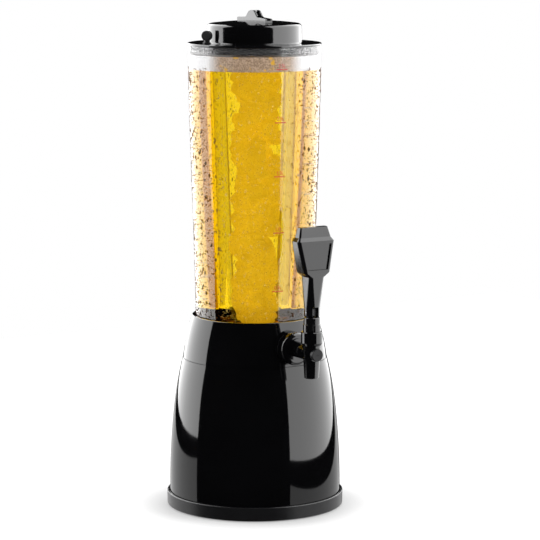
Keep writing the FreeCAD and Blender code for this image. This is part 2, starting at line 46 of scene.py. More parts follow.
class Wire:
    # one socket of a node tree; Python's operators add Math nodes
    def __init__(self, tree, socket=None):
        self.tree = tree
        self.socket = socket

    def make(self, kind, settings=(), inputs=(), out=0):
        # a colour is given as three numbers and is always opaque
        node = self.tree.nodes.new(kind)
        for key, value in dict(settings).items():
            if key == "stops":
                ramp = node.color_ramp
                while len(ramp.elements) < len(value):
                    ramp.elements.new(0.5)
                for element, (place, shade) in zip(ramp.elements, value):
                    element.position = place
                    element.color = (shade, shade, shade, 1)
            else:
                setattr(node, key, value)
        for key, value in dict(inputs).items():
            socket = node.inputs[key]
            if isinstance(value, Wire):
                self.tree.links.new(value.socket, socket)
            elif socket.type == "RGBA":
                socket.default_value = (*value, 1)
            else:
                socket.default_value = value
        return Wire(self.tree, node.outputs[out]) if node.outputs else node

    def maths(self, operation, *values):
        return self.make("ShaderNodeMath", {"operation": operation}, dict(enumerate(values)))

    def vectors(self, operation, inputs, out=0):
        return self.make("ShaderNodeVectorMath", {"operation": operation}, inputs, out)

    def __add__(self, other):
        return self.maths("ADD", self, other)

    def __radd__(self, other):
        return self.maths("ADD", other, self)

    def __sub__(self, other):
        return self.maths("SUBTRACT", self, other)

    def __rsub__(self, other):
        return self.maths("SUBTRACT", other, self)

    def __mul__(self, other):
        return self.maths("MULTIPLY", self, other)

    def __rmul__(self, other):
        return self.maths("MULTIPLY", other, self)

    def __truediv__(self, other):
        return self.maths("DIVIDE", self, other)

    def __rtruediv__(self, other):
        return self.maths("DIVIDE", other, self)

    def dot(self, direction):
        return self.vectors("DOT_PRODUCT", {0: self, 1: direction}, "Value")

    def place(self):
        # where on the piece the pattern is read
        return self.make("ShaderNodeTexCoord", out="Object")

    def flat(self):
        return self.vectors("MULTIPLY", {0: self, 1: (1, 1, 0)})

    def ramp(self, stops):
        return self.make("ShaderNodeValToRGB", {"stops": stops}, {0: self})

    def clamped(self, low, high):
        # 0 at low and below, 1 at high and above
        settings = {"interpolation_type": "SMOOTHSTEP"}
        return self.make("ShaderNodeMapRange", settings, {"Value": self, "From Min": low, "From Max": high})

    def between(self, first, second):
        # this share of the way from one colour to another
        return self.make("ShaderNodeMix", {"data_type": "RGBA"}, {0: self, 6: first, 7: second}, 2)


def newMaterial(name):
    material = bpy.data.materials.new(name)
    material.use_nodes = True
    material.node_tree.nodes.clear()
    return material, Wire(material.node_tree)


def finishMaterial(material, surface, volume=None):
    inputs = {"Surface": surface} if volume is None else {"Surface": surface, "Volume": volume}
    Wire(material.node_tree).make("ShaderNodeOutputMaterial", {}, inputs)
    return material


def noise(w, place, scale, detail=2.0):
    return w.make("ShaderNodeTexNoise", {}, {"Vector": place, "Scale": scale, "Detail": detail})


def bumps(w, height, strength, depth):
    return w.make("ShaderNodeBump", {}, {"Strength": strength, "Distance": depth, "Height": height})


def principled(w, inputs):
    return w.make("ShaderNodeBsdfPrincipled", {}, inputs)


def blended(w, share, first, second):
    return w.make("ShaderNodeMixShader", {}, {0: share, 1: first, 2: second})


def paint(name, material):
    slots = nodes[name].data.materials
    slots.clear()
    slots.append(material)


def addPiece(name, mesh, body, material=None):
    piece = bpy.data.objects.new(name, mesh)
    scene.collection.objects.link(piece)
    if material is not None:
        mesh.materials.clear()
        mesh.materials.append(material)
    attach(piece, body)


# The camera: where the photograph was taken from

camera = {
    "azimuth": -29.5,  # degrees from the tap's side, towards the left
    "distance": 2.57,
    "height": 0.61,
    "pitch": 8.30,  # degrees down
    "yaw": 0.337,  # degrees that the tower's axis stands left of the middle
    "lens": 174.67,
    "sensor": 36,
    "nearest": 0.1,
    "furthest": 50,
}
turn = math.radians(camera["azimuth"])
towards = Vector((math.sin(turn), -math.cos(turn), 0))  # from the tower to the camera
rightward = Vector((math.cos(turn), math.sin(turn), 0))


def addCamera():
    data = bpy.data.cameras.new("camera")
    data.lens = camera["lens"]
    data.sensor_width = camera["sensor"]
    data.clip_start = camera["nearest"]
    data.clip_end = camera["furthest"]
    made = bpy.data.objects.new("camera", data)
    scene.collection.objects.link(made)
    place = towards * camera["distance"]
    made.location = (place.x, place.y, camera["height"])
    made.rotation_euler = (math.radians(90 - camera["pitch"]), 0, turn - math.radians(camera["yaw"]))
    scene.camera = made


addCamera()
print("camera placed")


# Studio: a world that is white to the camera and dark to shiny surfaces, and that clear parts see as a
# white card with a darker gap at either side; light cards that only shiny surfaces see; and a table top

studio = {
    "plain": 0.85,  # what falls on everything from all sides
    "dark": 0.004,  # what shiny surfaces see beside the cards
    "middle": 1.2,  # what clear parts see behind them
    "side": 0.87,  # at their sides
    "gap": 0.43,  # and between the white card and the sides
    "gapTint": (1.0, 0.72, 0.55),
    "tintBelow": 0.7,  # how bright the gap may be and still have its tint
    "leftGap": (146.5, 155.0),  # degrees round from the camera
    "rightGap": (152.0, 155.5),
    "edge": 0.5,  # degrees that a gap's edge fades over, to either side
    "leftEdge": 1.0,  # and the left gap's near edge
    "gapLean": 1.2,  # how the gap leans, in degrees for each degree down
    "leanFrom": 5.2,  # degrees down where the gap stands at its stated place
    "steepFrom": 28,  # degrees up or down where clear parts see dark
    "steepTo": 50,
    "steepLoss": 0.85,
}
lamps = {
    "keyLight": {"angle": 75, "height": 0.9, "size": 0.9, "power": 9.0},
    "fillLight": {"angle": -110, "height": 0.8, "size": 0.9, "power": 7.0},
    "topLight": {"angle": 170, "height": 1.6, "size": 1.0, "power": 8.0},
}
lampDistance = 1.5
lampAim = Vector((0, 0, 0.25))
cards = {
    # feet as (right, front) of the tower's axis in metres; light low and high, the heights that it changes
    # between, and how it grows along the card
    "rightCard": {
        "feet": [(0.264, 0.280), (0.428, -0.70), (0.45, -1.30)],
        "light": (3.2, 4.8), "rise": (0.27, 0.45), "growth": 0.2,
    },
    "leftCard": {
        "feet": [(-0.65, 0.11), (-0.484, -0.488), (-0.30, -1.16)],
        "light": (4.0, 5.4), "rise": (0.33, 0.45), "growth": 0.0,
    },
}
cardFoot = 0.024
cardTop = 1.4
cardMirror = 0.25  # how much of a card's light the table throws back
rampTop = 2  # a ramp's stops end at 1, so brighter levels are scaled into it


def lightWorld():
    world = bpy.data.worlds.new("studio")
    scene.world = world
    world.use_nodes = True
    world.node_tree.nodes.clear()
    w = Wire(world.node_tree)
    direction = w.make("ShaderNodeTexCoord", out="Generated")
    side = direction.dot(tuple(rightward))
    front = direction.dot(tuple(towards))
    up = direction.dot((0, 0, 1))
    rise = w.maths("ARCSINE", up) * (180 / math.pi)
    steepness = w.maths("ABSOLUTE", rise)
    lean = w.maths("SIGN", side) * (rise + studio["leanFrom"]) * (studio["gapLean"] / 360)
    turned = w.maths("ARCTAN2", side, front) / (2 * math.pi) + 0.5 + lean

    nearLeft, farLeft = studio["leftGap"]
    nearRight, farRight = studio["rightGap"]
    gap, middle, plainSide = studio["gap"], studio["middle"], studio["side"]
    edge, leftEdge = studio["edge"], studio["leftEdge"]
    levels = [
        (-farRight - edge, middle), (-farRight + edge, gap),
        (-nearRight - edge, gap), (-nearRight + edge, plainSide),
        (nearLeft - leftEdge, plainSide), (nearLeft + leftEdge, gap),
        (farLeft - edge, gap), (farLeft + edge, middle),
    ]
    through = turned.ramp([((angle + 180) / 360, level / rampTop) for angle, level in levels]) * rampTop
    clear = through * (1 - studio["steepLoss"] * steepness.clamped(studio["steepFrom"], studio["steepTo"]))

    rays = w.make("ShaderNodeLightPath").socket.node.outputs
    seen = Wire(w.tree, rays["Is Camera Ray"])
    glossy = Wire(w.tree, rays["Is Glossy Ray"])
    passing = Wire(w.tree, rays["Is Transmission Ray"])
    level = passing * clear + (1 - passing) * (
        glossy * studio["dark"] + (1 - glossy) * (seen + (1 - seen) * studio["plain"])
    )
    inGap = passing * w.maths("LESS_THAN", through, studio["tintBelow"])
    color = inGap.between(white, studio["gapTint"])
    background = w.make("ShaderNodeBackground", {}, {"Color": color, "Strength": level})
    w.make("ShaderNodeOutputWorld", {}, {"Surface": background})


def addLamps():
    for name, lamp in lamps.items():
        data = bpy.data.lights.new(name, "AREA")
        data.size = lamp["size"]
        data.energy = lamp["power"]
        made = bpy.data.objects.new(name, data)
        scene.collection.objects.link(made)
        angle = math.radians(lamp["angle"])
        place = (towards * math.cos(angle) + rightward * math.sin(angle)) * lampDistance
        made.location = (place.x, place.y, lamp["height"])
        made.rotation_euler = (lampAim - made.location).to_track_quat("-Z", "Y").to_euler()
        made.visible_glossy = False
        made.visible_transmission = False
        made.visible_camera = False


def addCard(name, card):
    # the card, and its mirror image under the table
    feet = [rightward * right + towards * front for right, front in card["feet"]]
    vertices = []
    for foot in feet:
        for height in (cardFoot, cardTop, -cardFoot, -cardTop):
            vertices.append((foot.x, foot.y, height))
    faces = []
    for index in range(len(feet) - 1):
        a = index * 4
        faces.append((a, a + 4, a + 5, a + 1))
        faces.append((a + 2, a + 6, a + 7, a + 3))
    mesh = bpy.data.meshes.new(name)
    mesh.from_pydata(vertices, [], faces)
    material, w = newMaterial(name)
    place = w.place()
    up = place.dot((0, 0, 1))
    height = w.maths("ABSOLUTE", up)
    run = feet[-1] - feet[0]
    share = (place.dot(tuple(run.normalized())) - feet[0].dot(run.normalized())) / run.length
    low, high = card["light"]
    light = (low + (high - low) * height.clamped(*card["rise"])) * (1 + card["growth"] * share)
    above = w.maths("GREATER_THAN", up, 0.0)
    light = light * (cardMirror + (1 - cardMirror) * above)
    glow = w.make("ShaderNodeEmission", {}, {"Color": white, "Strength": light})
    mesh.materials.append(finishMaterial(material, glow))
    material.cycles.emission_sampling = "NONE"
    made = bpy.data.objects.new(name, mesh)
    scene.collection.objects.link(made)
    made.visible_camera = False
    made.visible_diffuse = False
    made.visible_transmission = False
    made.visible_shadow = False
    made.visible_volume_scatter = False


# The table top glows for the camera, so that it meets the white of the room and keeps the tower's shadow; its
# glow is weaker near the tower's foot, a painted shadow round the foot

floorPaint = {"grey": 0.60, "paintedShadowGlow": 0.27, "glowFar": 0.52, "near": 0.086, "far": 0.125, "size": 1.0}


def addFloor():
    size = floorPaint["size"]
    mesh = bpy.data.meshes.new("floor")
    corners = [(-size, -size, 0), (size, -size, 0), (size, size, 0), (-size, size, 0)]
    mesh.from_pydata(corners, [], [(0, 1, 2, 3)])
    floor = bpy.data.objects.new("floor", mesh)
    scene.collection.objects.link(floor)
    material, w = newMaterial("floorWhite")
    place = w.place()
    rays = w.make("ShaderNodeLightPath").socket.node.outputs
    seen = w.maths("MAXIMUM", Wire(w.tree, rays["Is Camera Ray"]), Wire(w.tree, rays["Is Transmission Ray"]))
    away = w.vectors("LENGTH", {0: place}, "Value")
    # painted shadow: the glow drops to its lowest within these distances of the tower's axis, darkening the
    # table round the foot
    near = floorPaint["paintedShadowGlow"]
    glow = near + (floorPaint["glowFar"] - near) * away.clamped(floorPaint["near"], floorPaint["far"])
    base = w.make("ShaderNodeBsdfDiffuse", {}, {"Color": (floorPaint["grey"],) * 3})
    light = w.make("ShaderNodeEmission", {}, {"Color": white, "Strength": seen * glow})
    mesh.materials.append(finishMaterial(material, w.make("ShaderNodeAddShader", {}, {0: base, 1: light})))
    material.cycles.emission_sampling = "NONE"
    floor.visible_glossy = False


lightWorld()
addLamps()
addFloor()
for cardName, cardSettings in cards.items():
    addCard(cardName, cardSettings)
print("studio lit")


# Black plastic, in the finishes of the parts

moulding = {"broad": 24.0, "fineDetail": 3.0, "grainDepth": 0.0002, "ior": 1.5}  # what the finishes share


def blackPlastic(name, settings):
    material, w = newMaterial(name)
    place = w.place()
    fine = noise(w, place, settings["grain"], moulding["fineDetail"])
    broad = noise(w, place, moulding["broad"])
    change = settings["roughChange"]
    rough = settings["rough"] + (broad - 0.5) * change + (fine - 0.5) * change
    return finishMaterial(material, principled(w, {
        "Base Color": broad.between(settings["dark"], settings["light"]), "Roughness": rough,
        "IOR": settings.get("ior", moulding["ior"]),
        "Normal": bumps(w, fine, settings["bump"], moulding["grainDepth"]),
    }))


glossBlack = blackPlastic("glossBlack", {
    "dark": (0.0015, 0.0015, 0.0018), "light": (0.003, 0.003, 0.0035), "grain": 900,
    "rough": 0.05, "roughChange": 0.02, "bump": 0.02,
})
lidBlack = blackPlastic("lidBlack", {
    "dark": (0.002, 0.002, 0.0024), "light": (0.004, 0.004, 0.0045), "grain": 700,
    "rough": 0.09, "roughChange": 0.03, "bump": 0.03,
})
handleBlack = blackPlastic("handleBlack", {
    "dark": (0.002, 0.002, 0.0024), "light": (0.005, 0.005, 0.0056), "grain": 1300,
    "rough": 0.13, "roughChange": 0.04, "bump": 0.05,
})
satinBlack = blackPlastic("satinBlack", {
    "dark": (0.006, 0.006, 0.007), "light": (0.011, 0.011, 0.012), "grain": 1800,
    "rough": 0.30, "roughChange": 0.06, "bump": 0.2,
})
knobBlack = blackPlastic("knobBlack", {
    "dark": (0.010, 0.010, 0.011), "light": (0.016, 0.016, 0.017), "grain": 1500,
    "rough": 0.34, "roughChange": 0.05, "bump": 0.1, "ior": 1.28,
})
rubberBlack = blackPlastic("rubberBlack", {
    "dark": (0.008, 0.008, 0.009), "light": (0.014, 0.014, 0.015), "grain": 2400,
    "rough": 0.55, "roughChange": 0.1, "bump": 0.3,
})

# Screws, spring and pin, and the valve's stem

steelLook = {"color": (0.62, 0.62, 0.64), "grain": 1500.0, "rough": 0.22, "roughChange": 0.16}
stemLook = {
    "dark": (0.02, 0.02, 0.022), "light": (0.034, 0.034, 0.036), "grain": 800.0,
    "rough": 0.35, "roughChange": 0.1,
}


def steelFinish():
    material, w = newMaterial("brightSteel")
    place = w.place()
    rough = steelLook["rough"] + noise(w, place, steelLook["grain"]) * steelLook["roughChange"]
    return finishMaterial(material, principled(w, {
        "Base Color": steelLook["color"], "Metallic": 1.0, "Roughness": rough
    }))


def stemFinish():
    material, w = newMaterial("stemPlastic")
    place = w.place()
    grain = noise(w, place, stemLook["grain"])
    return finishMaterial(material, principled(w, {
        "Base Color": grain.between(stemLook["dark"], stemLook["light"]),
        "Roughness": stemLook["rough"] + grain * stemLook["roughChange"],
    }))


steel = steelFinish()
stemDark = stemFinish()
finishes = {
    "nonslip_pad": rubberBlack, "base_plate": satinBlack, "base_screws": steel, "base_shell": glossBlack,
    "collar_screws": steel, "reservoir_collar": glossBlack, "tower_gasket": rubberBlack, "lid": lidBlack,
    "lid_gasket": rubberBlack, "lid_grip": lidBlack, "grip_screws": steel, "vent_plug": rubberBlack,
    "ice_tube_seal": rubberBlack, "tap_outer_washer": rubberBlack, "tap_escutcheon": glossBlack,
    "tap_inner_washer": rubberBlack, "tap_locknut": satinBlack, "tap_body": glossBlack, "bonnet": handleBlack,
    "stem_oring": rubberBlack, "valve_stem": stemDark, "seat_cup": rubberBlack, "valve_spring": steel,
    "handle": handleBlack, "handle_plate": handleBlack, "pivot_pin": steel, "flow_knob": knobBlack,
    "flow_oring": rubberBlack,
}
for nodeName, finish in finishes.items():
    paint(nodeName, finish)
print("black parts, steel and rubber finished")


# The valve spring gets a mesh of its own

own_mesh(nodes["valve_spring"])
print("valve spring set")


# Clear tubes: they let the view straight through and shine by their angle; mist covers the tower's top edge,
# painted much thicker and paler at the tower's two sides as the camera sees them, a painted highlight

clearTube = {
    "ior": 1.46, "rough": 0.02, "shine": 0.45, "tint": (0.985, 0.99, 0.985),
    "damp": 0.95, "dampFrom": 0.4465, "dampTo": 0.4520, "dampMiddle": 0.10, "dampAndSheenSides": (0.50, 0.80),
    "dampGrain": 900.0, "dampPatches": (0.38, 0.62), "dampAndSheenColor": (0.9, 0.89, 0.9),
}
iceTube = {"ior": 1.35, "rough": 0.05, "shine": 0.8, "tint": (0.98, 0.98, 0.97)}
wave = {"scale": 30.0, "detail": 1.0, "strength": 0.1, "depth": 0.001}  # both tubes' slight unevenness


def sidewaysShare(w, place, low, high):
    # 0 in the middle of the tower as the camera sees it, 1 at its two sides; the mask by which light and
    # shade are painted at the sides on the mist, the foam and the drops
    outward = w.vectors("NORMALIZE", {0: place.flat()})
    return w.maths("ABSOLUTE", outward.dot(tuple(rightward))).clamped(low, high)


def clearPlastic(name, settings):
    material, w = newMaterial(name)
    place = w.place()
    uneven = bumps(w, noise(w, place, wave["scale"], wave["detail"]), wave["strength"], wave["depth"])
    clear = w.make("ShaderNodeBsdfTransparent", {}, {"Color": settings["tint"]})
    gloss = w.make("ShaderNodeBsdfGlossy", {}, {
        "Color": white, "Roughness": settings["rough"], "Normal": uneven
    })
    fresnel = w.make("ShaderNodeFresnel", {}, {"IOR": settings["ior"]})
    outside = 1 - w.make("ShaderNodeNewGeometry", out="Backfacing")
    surface = blended(w, fresnel * outside * settings["shine"], clear, gloss)
    if "damp" in settings:
        fine = noise(w, place, settings["dampGrain"])
        high = place.dot((0, 0, 1)).clamped(settings["dampFrom"], settings["dampTo"])
        # real mist in the middle; the far thicker pale mist at the two sides as the camera sees them is a
        # painted highlight
        middle = settings["dampMiddle"]
        paintedSideShare = sidewaysShare(w, place, *settings["dampAndSheenSides"])
        amount = settings["damp"] * (middle + (1 - middle) * paintedSideShare)
        share = high * fine.clamped(*settings["dampPatches"]) * amount * outside
        mistAndSheen = w.make("ShaderNodeBsdfDiffuse", {}, {"Color": settings["dampAndSheenColor"]})
        surface = blended(w, share, surface, mistAndSheen)
    return finishMaterial(material, surface)


paint("tower_tube", clearPlastic("clearTube", clearTube))
paint("ice_tube", clearPlastic("clearIceTube", iceTube))
print("clear tubes finished")


# The drink: beer between the tower tube and the ice tube, and in the sump under them

tubeOuter = [(58.3, 178.5), (61.2, 300.0), (64.3, 400.0), (65.3, 458.0)]
iceTubeOuter = {"foot": 172.0, "nose": 20.0, "low": (26.4, 192.0), "high": (33.8, 450.0), "wall": 1.8}
beer = {
    "level": 435.5,
    "skin": 0.3,  # the tube's wall bends light like the drink, so the drink fills it almost to its skin
    "iceGap": 0.15,
    "sumpRadius": 41.5,
    "sumpFloor": 153.9,
    "sumpTop": 177.2,
    "foot": [(54.2, 177.4), (54.2, 178.9)],  # where it widens at the tube's foot
    "tubeFrom": 179.2,
    "tubeStep": 6,
    "rim": [(0, 0), (0.3, 0.2), (1.2, 0.4)],  # inward and down from where the level meets the tube
    "rimTuck": 0.05,
    "holeSteps": 20,
    "noseSteps": 12,
    "absorb": (0.7, 6.6, 60.0),  # per metre, for red, green and blue
    "ior": 1.34,
}


def turnedMesh(name, outline, steps=192):
    # closed solid of revolution; the outline goes round its section, in millimetres
    vertices = []
    faces = []
    count = len(outline)
    for step in range(steps):
        angle = 2 * math.pi * step / steps
        for radius, height in outline:
            vertices.append((radius * math.cos(angle) * mm, radius * math.sin(angle) * mm, height * mm))
    for step in range(steps):
        following = (step + 1) % steps
        for index in range(count):
            after = (index + 1) % count
            a, b = step * count, following * count
            faces.append((a + index, b + index, b + after, a + after))
    mesh = bpy.data.meshes.new(name)
    mesh.from_pydata(vertices, [], faces)
    mesh.validate()
    return mesh


def cleaned(mesh, sharp=40):
    bm = bmesh.new()
    bm.from_mesh(mesh)
    bmesh.ops.remove_doubles(bm, verts=bm.verts, dist=1e-7)
    bmesh.ops.recalc_face_normals(bm, faces=bm.faces)
    bm.to_mesh(mesh)
    bm.free()
    mesh.shade_smooth()
    mesh.set_sharp_from_angle(angle=math.radians(sharp))
    return mesh


def smoothRadius(height, scale=1.0):
    # the tube's outline is a smooth curve through its four heights; works for numbers and for wires
    total = 0
    for i, (r, z) in enumerate(tubeOuter):
        weight = 1
        for j, (_, other) in enumerate(tubeOuter):
            if j != i:
                weight = weight * ((height - other * scale) / ((z - other) * scale))
        total = weight * (r * scale) + total
    return total


def iceRadius(z):
    (r0, z0), (r1, z1) = iceTubeOuter["low"], iceTubeOuter["high"]
    return r0 + (r1 - r0) * (z - z0) / (z1 - z0)


def beerMaterial():
    material, w = newMaterial("beer")
    glass = w.make("ShaderNodeBsdfGlass", {}, {"Color": white, "Roughness": 0.0, "IOR": beer["ior"]})
    most = max(beer["absorb"])
    color = tuple(1 - value / most for value in beer["absorb"])
    volume = w.make("ShaderNodeVolumeAbsorption", {}, {"Color": color, "Density": most})
    return finishMaterial(material, glass, volume)


def makeBeer():
    gap, level = beer["iceGap"], beer["level"]
    sump, sumpFloor = beer["sumpRadius"], beer["sumpFloor"]
    outline = [(0.0, sumpFloor), (sump, sumpFloor), (sump, beer["sumpTop"])] + beer["foot"]
    z = beer["tubeFrom"]
    while z < level - 1:
        outline.append((smoothRadius(z) - beer["skin"], z))
        z += beer["tubeStep"]
    top = smoothRadius(level) - beer["skin"]
    outline += [(top - inward, level - down) for inward, down in beer["rim"]]
    outline.append((iceRadius(level) + gap - beer["rimTuck"], level - beer["rim"][-1][1]))
    noseTop = iceTubeOuter["foot"] + iceTubeOuter["nose"]
    for k in range(1, beer["holeSteps"]):
        z = level - k * (level - noseTop) / beer["holeSteps"]
        outline.append((iceRadius(z) + gap, z))
    edge = iceTubeOuter["low"][0]
    sphere = (edge ** 2 + iceTubeOuter["nose"] ** 2) / (2 * iceTubeOuter["nose"])
    for k in range(beer["noseSteps"]):
        angle = math.asin(edge / sphere) * (1 - k / beer["noseSteps"])
        low = iceTubeOuter["foot"] + sphere - (sphere + gap) * math.cos(angle)
        outline.append(((sphere + gap) * math.sin(angle), low))
    outline.append((0.0, iceTubeOuter["foot"] - gap))
    addPiece("beer", cleaned(turnedMesh("beer", outline)), "stand", beerMaterial())


makeBeer()
print("beer poured")


# Geometry Nodes: a tree is grown once on an empty mesh and kept as a plain mesh

def growTree(name, sockets):
    tree = bpy.data.node_groups.new(name, "GeometryNodeTree")
    for label, kind in sockets.items():
        tree.interface.new_socket(name=label, in_out="INPUT", socket_type="NodeSocket" + kind)
    tree.interface.new_socket(name="Geometry", in_out="OUTPUT", socket_type="NodeSocketGeometry")
    entry = tree.nodes.new("NodeGroupInput")
    return Wire(tree), {label: Wire(tree, entry.outputs[label]) for label in sockets}


def grown(name, w, entry, geometry, values):
    realized = w.make("GeometryNodeRealizeInstances", {}, {0: geometry})
    smooth = w.make("GeometryNodeSetShadeSmooth", {}, {0: realized})
    painted = w.make("GeometryNodeSetMaterial", {}, {"Geometry": smooth, "Material": entry["Material"]})
    w.make("NodeGroupOutput", {}, {0: painted})
    source = bpy.data.objects.new(name + "Source", bpy.data.meshes.new(name + "Source"))
    scene.collection.objects.link(source)
    modifier = source.modifiers.new(name, "NODES")
    modifier.node_group = w.tree
    for item in w.tree.interface.items_tree:
        if item.in_out == "INPUT":
            modifier[item.identifier] = values[item.name]
    depsgraph = bpy.context.evaluated_depsgraph_get()
    mesh = bpy.data.meshes.new_from_object(source.evaluated_get(depsgraph), depsgraph=depsgraph)
    mesh.name = name
    bpy.data.objects.remove(source)
    print(name, len(mesh.polygons), "faces")
    return mesh


def randomly(w, low, high, seed):
    return w.make("FunctionNodeRandomValue", {"data_type": "FLOAT"}, {2: low, 3: high, "Seed": seed}, 1)


def vectorOf(w, x, y, z):
    return w.make("ShaderNodeCombineXYZ", {}, {0: x, 1: y, 2: z})


# Ice in the ice tube, one lumpy column made of rounded blocks

ice = {
    "Count": 320, "Low": 0.1810, "High": 0.4610, "Spread": 0.0190, "Size": 0.0145, "Voxel": 0.0010, "Seed": 4,
    "Shift": 0.0018,
}
iceBlock = {
    "cuts": 5, "ball": 0.6, "rounding": 0.45, "spin": 6.3, "sizes": (0.75, 1.25),
    "band": 0.004, "threshold": 0.1,
    "room": 0.5,  # millimetres kept between the ice and the tube's inside
}
iceLook = {
    "frost": 120.0, "frostDetail": 4.0, "frostShade": (0.62, 0.42), "frostBump": (0.4, 0.0006),
    "cloud": 28.0, "cloudShade": (0.62, 0.62),
    "body": (0.97, 0.92),  # green and blue, as a share of red
    # painted glow: the ice is given an amber emission, a stand-in for the light that reaches it through the
    # beer and passes between the blocks
    "glow": (0.62, 0.05),  # the same, for the light that the blocks pass on to each other
    "paintedGlowStrength": 0.64,
    "back": (0.85, 0.82, 0.78), "backShare": 0.5, "rough": 0.6, "ior": 1.31,
}


def iceMaterial():
    material, w = newMaterial("ice")
    place = w.place()
    frost = noise(w, place, iceLook["frost"], iceLook["frostDetail"])
    cloud = noise(w, place, iceLook["cloud"])
    (frostLow, frostRise), (cloudLow, cloudRise) = iceLook["frostShade"], iceLook["cloudShade"]
    shade = (frostLow + frost * frostRise) * (cloudLow + cloud * cloudRise)
    body, glow = [
        w.make("ShaderNodeCombineColor", {}, {0: shade, 1: shade * green, 2: shade * blue})
        for green, blue in (iceLook["body"], iceLook["glow"])
    ]
    bump = bumps(w, frost, *iceLook["frostBump"])
    # painted light: the emission below makes the ice glow though it is no lamp
    front = principled(w, {
        "Base Color": body, "Roughness": iceLook["rough"], "IOR": iceLook["ior"], "Specular IOR Level": 0.0,
        "Normal": bump, "Emission Color": glow, "Emission Strength": iceLook["paintedGlowStrength"],
    })
    back = w.make("ShaderNodeBsdfTranslucent", {}, {"Color": iceLook["back"], "Normal": bump})
    material.cycles.emission_sampling = "NONE"
    return finishMaterial(material, blended(w, iceLook["backShare"], front, back))


def makeIce():
    w, entry = growTree("iceColumn", {
        "Count": "Int", "Low": "Float", "High": "Float", "Spread": "Float", "Size": "Float", "Voxel": "Float",
        "Seed": "Int", "Shift": "Float", "Material": "Material",
    })
    seed = entry["Seed"]
    angle = randomly(w, 0.0, 2 * math.pi, seed)
    reach = entry["Spread"] * w.maths("SQRT", randomly(w, 0.0, 1.0, seed + 1))
    index = w.make("GeometryNodeInputIndex")
    height = entry["Low"] + (entry["High"] - entry["Low"]) * (index / entry["Count"])
    across = reach * w.maths("COSINE", angle) + entry["Shift"] * rightward.x
    ahead = reach * w.maths("SINE", angle) + entry["Shift"] * rightward.y
    points = w.make("GeometryNodePoints", {}, {
        "Count": entry["Count"], "Position": vectorOf(w, across, ahead, height)
    })
    cuts = iceBlock["cuts"]
    cube = w.make("GeometryNodeMeshCube", {}, {"Size": (1, 1, 1), 1: cuts, 2: cuts, 3: cuts})
    spot = w.make("GeometryNodeInputPosition")
    ball = w.vectors("SCALE", {0: w.vectors("NORMALIZE", {0: spot}), "Scale": iceBlock["ball"]})
    rounded = w.make("ShaderNodeMix", {"data_type": "VECTOR"}, {0: iceBlock["rounding"], 4: spot, 5: ball}, 1)
    block = w.make("GeometryNodeSetPosition", {}, {"Geometry": cube, "Position": rounded})
    spin = w.make("FunctionNodeRandomValue", {"data_type": "FLOAT_VECTOR"}, {
        0: (0, 0, 0), 1: (iceBlock["spin"],) * 3, "Seed": seed + 2
    }, 0)
    size = entry["Size"] * randomly(w, *iceBlock["sizes"], seed + 3)
    blocks = w.make("GeometryNodeInstanceOnPoints", {}, {
        "Points": points, "Instance": block, "Rotation": spin, "Scale": size
    })
    solid = w.make("GeometryNodeRealizeInstances", {}, {0: blocks})
    fog = w.make("GeometryNodeMeshToVolume", {"resolution_mode": "VOXEL_SIZE"}, {
        "Mesh": solid, "Voxel Size": entry["Voxel"], "Interior Band Width": iceBlock["band"]
    })
    skin = w.make("GeometryNodeVolumeToMesh", {"resolution_mode": "VOXEL_SIZE"}, {
        "Volume": fog, "Voxel Size": entry["Voxel"], "Threshold": iceBlock["threshold"]
    })
    # nothing may reach through the ice tube's wall
    place = w.make("GeometryNodeInputPosition")
    away = w.vectors("LENGTH", {0: place.flat()}, "Value")
    up = place.dot((0, 0, 1))
    (r0, z0), (r1, z1) = iceTubeOuter["low"], iceTubeOuter["high"]
    inside = iceTubeOuter["wall"] + iceBlock["room"]
    room = (r0 - inside) * mm + (up - z0 * mm) * ((r1 - r0) / (z1 - z0))
    pull = w.maths("MINIMUM", room / w.maths("MAXIMUM", away, 0.001), 1.0)
    kept = w.vectors("MULTIPLY", {0: place, 1: vectorOf(w, pull, pull, 1.0)})
    column = w.make("GeometryNodeSetPosition", {}, {"Geometry": skin, "Position": kept})
    addPiece("ice", grown("ice", w, entry, column, dict(ice, Material=iceMaterial())), "ice_tube")


makeIce()
print("ice filled in")


# Foam on the beer: beige froth in the middle, painted white at the sides as the camera sees them (painted
# light), with patches of gold; it also glows faintly, a painted glow

foam = {
    "low": 435.3, "high": 449.6, "steps": 4,
    "dips": (1.2, 1.8, 1.4),  # how far its top sinks beside the tube, half way and beside the ice tube
    "dipReach": 3,
}
foamLook = {
    "bubbles": 650.0, "bubbleEdge": (0.1, 0.8), "fine": 420.0, "fineDetail": 3.0, "bump": (0.5, 0.0005),
    "dark": (0.27, 0.18, 0.12), "light": (0.56, 0.40, 0.29),
    # the white at the sides is painted light, and the glow is a painted glow
    "side": (0.93, 0.92, 0.94), "sides": (0.48, 0.74),
    "gold": (0.78, 0.43, 0.06), "goldScale": 90.0, "goldEdge": (0.64, 0.72),
    "clearEdge": (0.56, 0.70), "clearShare": (0.12, 0.35), "glow": 0.06, "rough": 0.7, "ior": 1.31,
}


